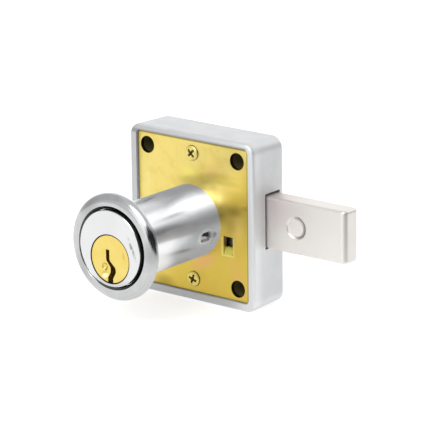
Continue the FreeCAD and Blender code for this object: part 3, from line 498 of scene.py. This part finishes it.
def barrel_chrome():
    """Bright chrome on the turned barrel. Its front face is satin with a fine speckle and painted shade
    towards its bottom, and painted shade darkens the gaps round the plug and behind the head's edge. Its side
    is paler round the slot, with a painted bright reflection near the ring and painted dark reflection in a
    band above the slot, on its crown and at its upper right."""
    finish = Finish("barrel_chrome", Anisotropic=0.65, Anisotropic_Rotation=0.25)
    front = node_box("cylinder_housing")[0][1]
    face = finish.ramp(finish.y, front + 0.03, front + 0.01)
    speck = finish.noise(5.0, 3.0, 0.6)
    colour = finish.paint(grey(0.78, -0.012), face, grey(0.80, -0.004))
    # Painted shade: the face darker towards its bottom
    shaded_low_face = finish.both(face, finish.ramp(finish.z, -6.5, -9.5))
    colour = finish.paint(colour, shaded_low_face, grey(0.66, -0.004))
    dots = finish.both(face, finish.ramp(finish.noise(3.2, 4.0, 0.75), 0.60, 0.72), 0.3)
    colour = finish.paint(colour, dots, grey(0.45))
    scratch = finish.noise(1.4, 3.0, 0.7, stretch=(2.0, 1.0, 0.5), turn=(0, 0.5, 0))
    worn = finish.both(face, finish.spot(*WORN_PLACE), finish.ramp(scratch, 0.48, 0.56))
    colour = finish.paint(colour, worn, grey(0.12))
    # Painted shade in the gap round the plug
    from_plug = finish.from_axis(0.0, PLUG_AXIS)
    shade_round_plug = finish.both(finish.ramp(from_plug, BORE_MOUTH + 0.04, BORE_MOUTH - 0.04),
                             finish.ramp(finish.y, front + 0.6, front + 0.5))
    colour = finish.paint(colour, shade_round_plug, grey(0.012, 0.3))
    # Painted shade on the head's side, behind its edge
    shaded_head_side = finish.both(finish.ramp(finish.from_axis(), HEAD_RADIUS - 0.17, HEAD_RADIUS - 0.1),
                            finish.ramp(finish.y, front + 0.1, front + 0.2),
                            finish.ramp(finish.y, front + 2.6, front + 2.4))
    colour = finish.paint(colour, shaded_head_side, grey(0.12))
    along = finish.math("MULTIPLY", finish.math("SUBTRACT", finish.y, SLOT_Y), 1 / HALO_LONG)
    upward = finish.math("MULTIPLY", finish.math("SUBTRACT", finish.z, SLOT_Z), 1 / HALO_HIGH)
    from_slot = finish.length(along, upward)
    halo = finish.both(finish.ramp(from_slot, 1.5, 0.9), finish.ramp(finish.x, 5.0, 7.0), 0.7)
    colour = finish.paint(colour, halo, grey(0.92))
    # Painted bright reflection on the side near the ring
    bright_reflection_near_ring = finish.both(finish.ramp(finish.y, -15.0, -21.0), finish.ramp(finish.y, -30.0, -28.0),
                            finish.ramp(finish.z, 3.0, 0.0), 0.9)
    colour = finish.paint(colour, bright_reflection_near_ring, grey(0.98))
    # Painted dark reflection in a band above the slot
    dark_reflection_band = finish.both(finish.ramp(finish.z, 0.2, 1.6), finish.ramp(finish.z, 4.4, 3.2),
                       finish.ramp(finish.x, 6.0, 7.0), finish.ramp(finish.y, -19.0, -15.0),
                       finish.ramp(finish.y, -7.0, -10.0), 0.35)
    colour = finish.paint(colour, dark_reflection_band, grey(0.5))
    # Painted dark reflection on the crown
    crown = finish.both(finish.ramp(finish.z, 8.7, 9.3), finish.ramp(finish.y, -14.0, -9.0), 0.35)
    colour = finish.paint(colour, crown, grey(0.5))
    # Painted shade at the upper right
    shade_upper_right = finish.both(finish.spot(*UPPER_RIGHT), finish.ramp(finish.y, -4.5, -1.0), 0.5)
    colour = finish.paint(colour, shade_upper_right, grey(0.5))
    finish.set("Base Color", colour)
    haze = finish.noise(0.5, 2.0)
    side_rough = finish.blend(halo, finish.blend(haze, 0.20, 0.28), 0.5)
    face_rough = finish.blend(speck, 0.26, 0.36)
    finish.set("Roughness", finish.blend(face, side_rough, face_rough))
    ripple = finish.noise(0.22, 1.0, 0.4, stretch=(1, 0.35, 1))
    over = finish.bump(ripple, 0.06, 0.4)
    finish.bump(finish.both(face, speck), 0.02, 0.5, over)
    round_axis = add(finish.tree, "ShaderNodeTangent", direction_type="RADIAL", axis="Y")
    finish.set("Tangent", round_axis.outputs["Tangent"])
    return finish.material


def ring_chrome():
    """Brushed chrome: fine lines run round the ring, deeper in some stretches than in others, with painted
    shade for dark reflections at its left and right.
    """
    finish = Finish("ring_chrome")
    brush = add(finish.tree, "ShaderNodeTexNoise", {"W": finish.from_axis(), "Scale": 4.0, "Detail": 4.0,
                                                    "Roughness": 0.7}, noise_dimensions="1D")
    lines = finish.ramp(brush.outputs["Fac"], 0.35, 0.65)
    lines_here = finish.both(lines, finish.ramp(finish.noise(0.35, 3.0, 0.6), 0.3, 0.6))
    colour = finish.paint(grey(0.63, -0.010), lines_here, grey(0.54, -0.014))
    # Painted shade for dark reflections, spot by spot
    for x, z, radius, soft, tall, share in RING_SHADE_SPOTS:
        shade_spot = finish.math("MULTIPLY", finish.spot(x, z, radius, soft, tall), share)
        colour = finish.paint(colour, shade_spot, grey(0.42, -0.01))
    finish.set("Base Color", colour)
    finish.set("Roughness", finish.blend(lines_here, 0.11, 0.22))
    finish.bump(lines_here, 0.005, 0.3)
    return finish.material


def turned_brass():
    """Clean turned brass, smooth on its front, with a brown ring round the dimple beside the keyway, a painted
    highlight under it and a dark stroke between them."""
    finish = Finish("turned_brass")
    brass = (0.89, 0.715, 0.225, 1)
    deep_brass = (0.86, 0.65, 0.17, 1)
    dimple_rim_brown = (0.36, 0.21, 0.04, 1)
    glint_colour = (1.0, 0.94, 0.62, 1)
    stroke_brown = (0.32, 0.19, 0.03, 1)
    red_edge = (0.80, 0.38, 0.08, 1)
    patina = finish.noise(0.25, 2.0)
    colour = finish.paint(brass, finish.ramp(patina, 0.3, 0.75), deep_brass)
    front = finish.ramp(finish.y, -31.2, -31.3)
    rough_edge = finish.ramp(finish.noise(1.1, 2.0, 0.6, turn=(0, 0.4, 0)), 0.40, 0.55)
    from_dimple = finish.math("ABSOLUTE", finish.math("SUBTRACT", finish.from_axis(*DIMPLE), DIMPLE_RADIUS))
    dimple_rim = finish.both(front, finish.ramp(from_dimple, 0.26, 0.08), rough_edge, 0.65)
    colour = finish.paint(colour, dimple_rim, dimple_rim_brown)
    # Painted highlight: a glint below the dimple
    glint = finish.both(front, finish.spot(*GLINT), 0.95)
    colour = finish.paint(colour, glint, glint_colour)
    dark_stroke = finish.both(front, finish.spot(*DARK_STROKE), 0.6)
    colour = finish.paint(colour, dark_stroke, stroke_brown)
    edge_mark = finish.both(front, finish.spot(*EDGE_MARK), 0.75)
    colour = finish.paint(colour, edge_mark, red_edge)
    finish.set("Base Color", colour)
    mark = finish.noise(3.0, 3.0, 0.6)
    finish.set("Roughness", finish.blend(mark, 0.26, 0.36))
    finish.bump(mark, 0.01, 0.4)
    return finish.material


def satin_nickel(name, tone=1.0):
    """A rolled bar's fine upright grain under satin nickel, a little warm, with painted shade beside the case.
    The seam round the insert's end has a painted highlight on its left and painted shade on its right."""
    finish = Finish(name)
    half_seam, seam_gone = 0.22, 0.42
    grain = finish.noise(2.2, 4.0, 0.7, stretch=(3.0, 1.0, 0.16))
    cloud = finish.noise(0.13, 2.0)
    warm = grey(0.84 * tone, 0.045)
    pale = grey(0.86 * tone, 0.035)
    colour = finish.paint(warm, finish.ramp(cloud, 0.3, 0.7), pale)
    # Painted shade on the bolt beside the case
    shade_beside_case = finish.both(finish.ramp(finish.x, 36.0, 22.0), finish.ramp(finish.z, -3.0, 7.0), 0.75)
    colour = finish.paint(colour, shade_beside_case, (0.77 * tone, 0.69 * tone, 0.68 * tone, 1))
    low, high = node_box("bolt_insert")
    across, upward = (low[0] + high[0]) / 2, (low[2] + high[2]) / 2
    seam = finish.math("SUBTRACT", finish.from_axis(across, upward), (high[0] - low[0]) / 2)
    seam = finish.ramp(finish.math("ABSOLUTE", seam), seam_gone, half_seam)
    # Painted highlight on the seam's left, painted shade on its right
    right_of_pin = finish.ramp(finish.x, across - 1.2, across + 0.6)
    seam_light_and_shade = finish.paint(grey(0.95, 0.01), right_of_pin, grey(0.50, 0.05))
    colour = finish.paint(colour, finish.math("MULTIPLY", seam, 0.8), seam_light_and_shade)
    speck = finish.ramp(finish.noise(2.6, 3.0, 0.7), 0.58, 0.72)
    colour = finish.paint(colour, finish.math("MULTIPLY", speck, 0.12), grey(0.4, 0.04))
    finish.set("Base Color", colour)
    finish.set("Roughness", finish.blend(seam, finish.blend(grain, 0.40, 0.54), 0.75))
    finish.bump(grain, 0.006, 0.35)
    return finish.material


def retainer_steel():
    """Steel in the slot: painted shade over its top and a painted highlight on its lip at its lower front
    corner.
    """
    finish = Finish("retainer_steel", Metallic=0.4, Roughness=0.45)
    corner = finish.math("ADD", finish.math("MULTIPLY", finish.z, -1.0),
                         finish.math("MULTIPLY", finish.y, -0.3))
    grain = finish.math("MULTIPLY", finish.noise(1.5, 2.0), 0.3)
    # Painted highlight on the lip; the rest is painted shade
    lip = finish.ramp(finish.math("ADD", corner, grain), 3.1, 3.5)
    finish.set("Base Color", finish.paint(grey(0.03, 0.1), lip, grey(0.92)))
    return finish.material


def plain_steel(name, level, roughness):
    """Zinc-plated or drawn steel for what lies inside."""
    finish = Finish(name)
    mottle = finish.noise(1.5, 3.0)
    finish.set("Base Color", finish.paint(grey(level * 0.85), mottle, grey(level * 1.1)))
    finish.set("Roughness", finish.blend(mottle, roughness - 0.06, roughness + 0.06))
    return finish.material


def dress(node, material):
    """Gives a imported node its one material."""
    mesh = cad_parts[node].data
    mesh.materials.clear()
    mesh.materials.append(material)


def grid_faces(rows, columns, closed, first=0):
    """The four-cornered faces of a grid of numbered points, counted from first. Closed says whether the rows
    and the columns come round to the first again."""
    number = first + np.arange(rows * columns).reshape(rows, columns)
    down = np.roll(number, -1, axis=0) if closed[0] else number[1:]
    here = number if closed[0] else number[:-1]
    if closed[1]:
        faces = np.stack([here, down, np.roll(down, -1, 1), np.roll(here, -1, 1)], axis=-1)
    else:
        faces = np.stack([here[:, :-1], down[:, :-1], down[:, 1:], here[:, 1:]], axis=-1)
    return faces.reshape(-1, 4)


def surface(name, grids, body, material, sharp=0.7, shade=None):
    """One mesh of several grids of points. Each is an array of rows by columns by three, in millimetres, with
    what says whether it is closed. Edges that turn by more than sharp, in radians, stay crisp. Shade is a
    number for each point, for the material."""
    places, faces, first = [], [], 0
    for points, closed in grids:
        rows, columns = points.shape[:2]
        faces.append(grid_faces(rows, columns, closed, first))
        places.append(points.reshape(-1, 3))
        first += rows * columns
    mesh = bpy.data.meshes.new(name)
    mesh.from_pydata((np.concatenate(places) * MM).tolist(), [], np.concatenate(faces).tolist())
    if shade is not None:
        mesh.attributes.new("shade", "FLOAT", "POINT").data.foreach_set("value", shade.astype(np.float32))
    shape = bmesh.new()
    shape.from_mesh(mesh)
    bmesh.ops.remove_doubles(shape, verts=shape.verts, dist=SAME_PLACE)
    bmesh.ops.recalc_face_normals(shape, faces=shape.faces)
    shape.to_mesh(mesh)
    shape.free()
    mesh.shade_smooth()
    mesh.set_sharp_from_angle(angle=sharp)
    mesh.materials.append(material)
    piece = bpy.data.objects.new(name, mesh)
    bpy.context.scene.collection.objects.link(piece)
    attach(piece, body)
    return piece


def arc(centre, radius, start, end, steps):
    """Points round a centre from one angle to another, in degrees, in a profile's own plane."""
    angle = np.radians(np.linspace(start, end, steps))
    return np.stack([centre[0] + radius * np.cos(angle), centre[1] + radius * np.sin(angle)], axis=-1)


def turned(profile, steps=192):
    """A profile of radius and depth pairs carried round the barrel's axis: x = r sin a, z = r cos a."""
    angle = np.linspace(0, 2 * math.pi, steps, endpoint=False)
    radius = profile[:, 0][:, None]
    depth = np.broadcast_to(profile[:, 1][:, None], (len(profile), steps))
    return np.stack([radius * np.sin(angle), depth, radius * np.cos(angle)], axis=-1)


def make_ring(material):
    """The trim ring: a throat that flares forward, a soft lip, a narrow crest and a broad round flank, hollow
    behind. The flank is a quarter of an ellipse, longer across the ring than it is deep."""
    low, high = node_box("trim_ring")
    front, back, outer = low[1] - RING_FORWARD, high[1], high[0]
    bore = 9.9
    lip = 0.22
    flank_width = 2.85
    flank_depth = 1.8
    sheet = 0.95
    foot = 0.9
    lean = 0.3
    heel_round = 0.15
    crest_out = 0.95
    # The throat's flare: how far out of the bore, and how far behind the front
    flare = np.array([[0.0, 1.0], [0.25, 0.62], [0.55, 0.3]])
    throat = np.concatenate([[[bore, back]], flare + [bore, front]])
    crest = arc((bore + crest_out, front + lip), lip, 200, 270, 8)
    turn = np.radians(np.linspace(-90, -4, 40))
    flank = np.stack([outer - flank_width + flank_width * np.cos(turn),
                      front + flank_depth + flank_depth * np.sin(turn)], axis=-1)
    heel = arc((outer - heel_round, back - heel_round), heel_round, 0, 90, 5)
    hollow = np.array([[outer - foot, back], [outer - foot - lean, front + sheet],
                       [bore + foot + lean, front + sheet], [bore + foot, back]])
    profile = np.concatenate([throat, crest, flank, heel, hollow])
    ring = surface("ring_dome", [(turned(profile), (True, True))], "ring_body", material, sharp=0.6)
    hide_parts("trim_ring")


def make_screw(name, height, turn, material):
    """A pan-head screw. The head is a square grid drawn in to a disc: its height is a low dome less the cross
    recess, whose arms narrow as they go down. From its rim, rings go in under the head and down the shank,
    whose radius follows the cosine of the angle less the depth's turns, and close at its point."""
    radius = 2.05
    dome = 0.65
    fullness = 0.32
    depth = 0.8
    arm_long = 1.3
    arm_half = 0.34
    wall_slope = 0.12
    end_slope = 0.3
    pitch = 0.75
    root = 1.0
    crest = 1.2
    length = 6.0
    point_long = 0.6
    point_radius = 0.4
    lines = 81
    thread_rings = 60
    side = np.linspace(-1, 1, lines)
    u, v = np.meshgrid(side, side, indexing="ij")
    x = radius * u * np.sqrt(1 - v * v / 2)
    z = radius * v * np.sqrt(1 - u * u / 2)
    away = np.minimum(np.hypot(x, z) / radius, 1)
    crown = dome * (1 - away ** 2) ** fullness
    across = np.minimum(np.abs(x), np.abs(z))
    along = np.maximum(np.abs(x), np.abs(z))
    recess = np.clip((arm_half - across) / wall_slope, 0, 1) * np.clip((arm_long - along) / end_slope, 0, 1)
    head = np.stack([x, depth * recess - crown, z], axis=-1)
    rim = np.concatenate([head[:-1, 0], head[-1, :-1], head[:0:-1, -1], head[0, :0:-1]])
    angle = np.arctan2(rim[:, 0], rim[:, 2])
    down = np.linspace(0.0, length - point_long, thread_rings)[:, None]
    thread = root + (crest - root) * (0.5 + 0.5 * np.cos(2 * math.pi * down / pitch - angle))
    depths = np.broadcast_to(down, thread.shape)
    shank = np.stack([thread * np.sin(angle), depths, thread * np.cos(angle)], axis=-1)
    end = np.full_like(angle, length)
    point = np.stack([point_radius * np.sin(angle), end, point_radius * np.cos(angle)], axis=-1)
    tip = np.stack([0 * angle, end, 0 * angle], axis=-1)
    under = np.concatenate([rim[None], shank, [point, tip]])
    cosine, sine = math.cos(turn), math.sin(turn)
    spin = np.array([[cosine, 0, -sine], [0, 1, 0], [sine, 0, cosine]])
    place = np.array([PLATE_SCREW_X, 0, height])
    grids = [(head @ spin + place, (False, False)), (under @ spin + place, (False, True))]
    # Painted shade round the head's rim, and in the recess
    edge = 0.8 * np.clip((away - 0.93) / 0.05, 0, 1)
    head_shade = np.maximum(np.sqrt(recess), edge)
    shade = np.concatenate([head_shade.ravel(), np.ones(under[..., 0].size)])
    piece = surface(name, grids, "lock_body", material, sharp=0.9, shade=shade)
    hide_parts("plate_screws")


def make_pin_spring(number, material):
    """A coil spring over a driver pin: a round wire whose middle goes round at an even radius, x as the
    cosine and y as the sine of the turn, while z rises evenly, closed to a point at each end."""
    low, high = node_box(f"pin_spring_{number}")
    wire = SPRING_WIRE / 2
    coil = (high[0] - low[0]) / 2 - wire
    steps = 99
    sides = 10
    turn = np.linspace(0, 2 * math.pi * SPRING_TURNS, steps)
    outward = np.stack([np.cos(turn), np.sin(turn), 0 * turn], axis=-1)
    middle = coil * outward
    middle[:, :2] += (low[:2] + high[:2]) / 2
    middle[:, 2] = np.linspace(low[2] + wire, high[2] - wire, steps)
    around = np.linspace(0, 2 * math.pi, sides, endpoint=False)
    upward = np.array([0.0, 0.0, 1.0])
    ring = np.cos(around)[None, :, None] * outward[:, None, :] + np.sin(around)[None, :, None] * upward
    points = middle[:, None, :] + wire * ring
    ends = np.broadcast_to(middle[[0, -1], None, :], (2, sides, 3))
    points = np.concatenate([ends[:1], points, ends[1:]])
    name = f"coil_{number}"
    piece = surface(name, [(points, (False, True))], "lock_body", material)
    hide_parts(f"pin_spring_{number}")
    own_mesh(piece)


def make_floor(height):
    """A pale flat floor under the lock: a square grid. It glows a little, and polished metal sees its far
    right dim."""
    half = 3000.0
    lines = 9
    side = np.linspace(-half, half, lines)
    x, y = np.meshgrid(side, side, indexing="ij")
    points = np.stack([x, y, np.full_like(x, height)], axis=-1)
    mesh = bpy.data.meshes.new("floor")
    faces = grid_faces(lines, lines, (False, False))
    mesh.from_pydata((points.reshape(-1, 3) * MM).tolist(), [], faces.tolist())
    floor = bpy.data.objects.new("floor", mesh)
    bpy.context.scene.collection.objects.link(floor)
    material = bpy.data.materials.new("pale_floor")
    material.use_nodes = True
    tree = material.node_tree
    tree.nodes.clear()
    path = add(tree, "ShaderNodeLightPath")
    place = add(tree, "ShaderNodeTexCoord").outputs["Object"]
    parts = add(tree, "ShaderNodeSeparateXYZ", {"Vector": place}).outputs
    far_right = calculate(tree, "MULTIPLY", ramp(tree, parts["X"], *DIM_FROM),
                          ramp(tree, parts["Y"], *DIM_BEFORE))
    dim = calculate(tree, "MULTIPLY", far_right, path.outputs["Is Glossy Ray"])
    seen = calculate(tree, "MULTIPLY", path.outputs["Is Camera Ray"], FLOOR_GLOW)
    mirrored_glow = blend_numbers(tree, dim, FLOOR_GLOW_IN_METAL, 0.0)
    mirrored = calculate(tree, "MULTIPLY", path.outputs["Is Glossy Ray"], mirrored_glow)
    colour = blend_colours(tree, dim, grey(FLOOR_PAINT), grey(FLOOR_DIM))
    paint = add(tree, "ShaderNodeBsdfDiffuse", {"Color": colour})
    glow = add(tree, "ShaderNodeEmission", {"Strength": calculate(tree, "ADD", seen, mirrored)})
    both = add(tree, "ShaderNodeAddShader", {0: paint.outputs[0], 1: glow.outputs[0]})
    add(tree, "ShaderNodeOutputMaterial", {"Surface": both.outputs[0]})
    mesh.materials.append(material)


def make_studio():
    """A pale room: white for the camera, with soft panels and dark stretches that polished metal picks up,
    and a soft lamp."""
    world = bpy.data.worlds.new("studio")
    bpy.context.scene.world = world
    world.use_nodes = True
    tree = world.node_tree
    tree.nodes.clear()
    way = add(tree, "ShaderNodeTexCoord").outputs["Generated"]
    level = ROOM_LEVEL
    for direction, whole, gone, strength in PANELS:
        aim = tuple(Vector(direction).normalized())
        near = add(tree, "ShaderNodeVectorMath", {0: way, 1: aim}, operation="DOT_PRODUCT").outputs["Value"]
        share = ramp(tree, near, math.cos(math.radians(gone)), math.cos(math.radians(whole)))
        level = blend_numbers(tree, share, level, strength)
    seen = add(tree, "ShaderNodeLightPath").outputs["Is Camera Ray"]
    white = add(tree, "ShaderNodeBackground", {"Color": grey(1.0), "Strength": 1.0})
    room = add(tree, "ShaderNodeBackground", {"Color": grey(1.0), "Strength": level})
    both = add(tree, "ShaderNodeMixShader", {0: seen, 1: room.outputs[0], 2: white.outputs[0]})
    add(tree, "ShaderNodeOutputWorld", {"Surface": both.outputs[0]})
    area_light("key_lamp", LAMP_PLACE, LAMP_SIZE, LAMP_WATTS)


def area_light(name, place, size, watts):
    """A soft lamp aimed at the lock's middle."""
    data = bpy.data.lights.new(name, "AREA")
    data.shape = "RECTANGLE"
    data.size, data.size_y = size[0] * MM, size[1] * MM
    data.energy = watts
    lamp = bpy.data.objects.new(name, data)
    lamp.location = Vector(place) * MM
    lamp.rotation_euler = (-lamp.location).to_track_quat("-Z", "Y").to_euler()
    bpy.context.scene.collection.objects.link(lamp)


def set_camera():
    """Looks from the photograph's place: azimuth from -Y towards +X, elevation above the horizon, a slight
    roll."""
    azimuth, elevation, roll = (math.radians(angle) for angle in (AZIMUTH, ELEVATION, ROLL))
    back = Vector((math.sin(azimuth) * math.cos(elevation), -math.cos(azimuth) * math.cos(elevation),
                   math.sin(elevation)))
    right = Vector((math.cos(azimuth), math.sin(azimuth), 0))
    up = back.cross(right)
    data = bpy.data.cameras.new("camera")
    data.sensor_width = SENSOR
    data.lens = LENS
    data.clip_start = 0.01
    data.clip_end = 20.0
    camera = bpy.data.objects.new("camera", data)
    place = (right * AIM_RIGHT + up * AIM_UP + back * DISTANCE) * MM
    across = right * math.cos(roll) + up * math.sin(roll)
    upright = up * math.cos(roll) - right * math.sin(roll)
    camera.matrix_world = Matrix.Translation(place) @ Matrix((across, upright, back)).transposed().to_4x4()
    bpy.context.scene.collection.objects.link(camera)
    bpy.context.scene.camera = camera


zinc = cast_zinc()
chrome = barrel_chrome()
brushed = ring_chrome()
brass = turned_brass()
spring_steel = plain_steel("spring_steel", 0.5, 0.3)
plated_steel = plain_steel("plated_steel", 0.22, 0.4)

dress("case", zinc)
dress("cover_plate", yellow_plate_steel())
dress("cylinder_housing", chrome)
dress("chamber_cover", chrome)
dress("plug", brass)
dress("bolt", satin_nickel("bolt_nickel"))
dress("bolt_insert", satin_nickel("insert_steel", 1.08))
dress("detent_spring", spring_steel)
for node in ("crank", "crank_pin", "crank_screw"):
    dress(node, plated_steel)
dress("plug_retainer", retainer_steel())
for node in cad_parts:
    if node.startswith(("key_pin", "driver_pin")):
        dress(node, brass)

make_ring(brushed)
screw_yellow = yellow_screw_steel()
for name, height, turn in PLATE_SCREWS:
    make_screw(name, height, math.radians(turn), screw_yellow)
for number in range(1, PINS + 1):
    make_pin_spring(number, spring_steel)
make_floor(node_box("case")[0][2] - FLOOR_GAP)
make_studio()
set_camera()

bpy.context.scene.view_settings.view_transform = "Standard"
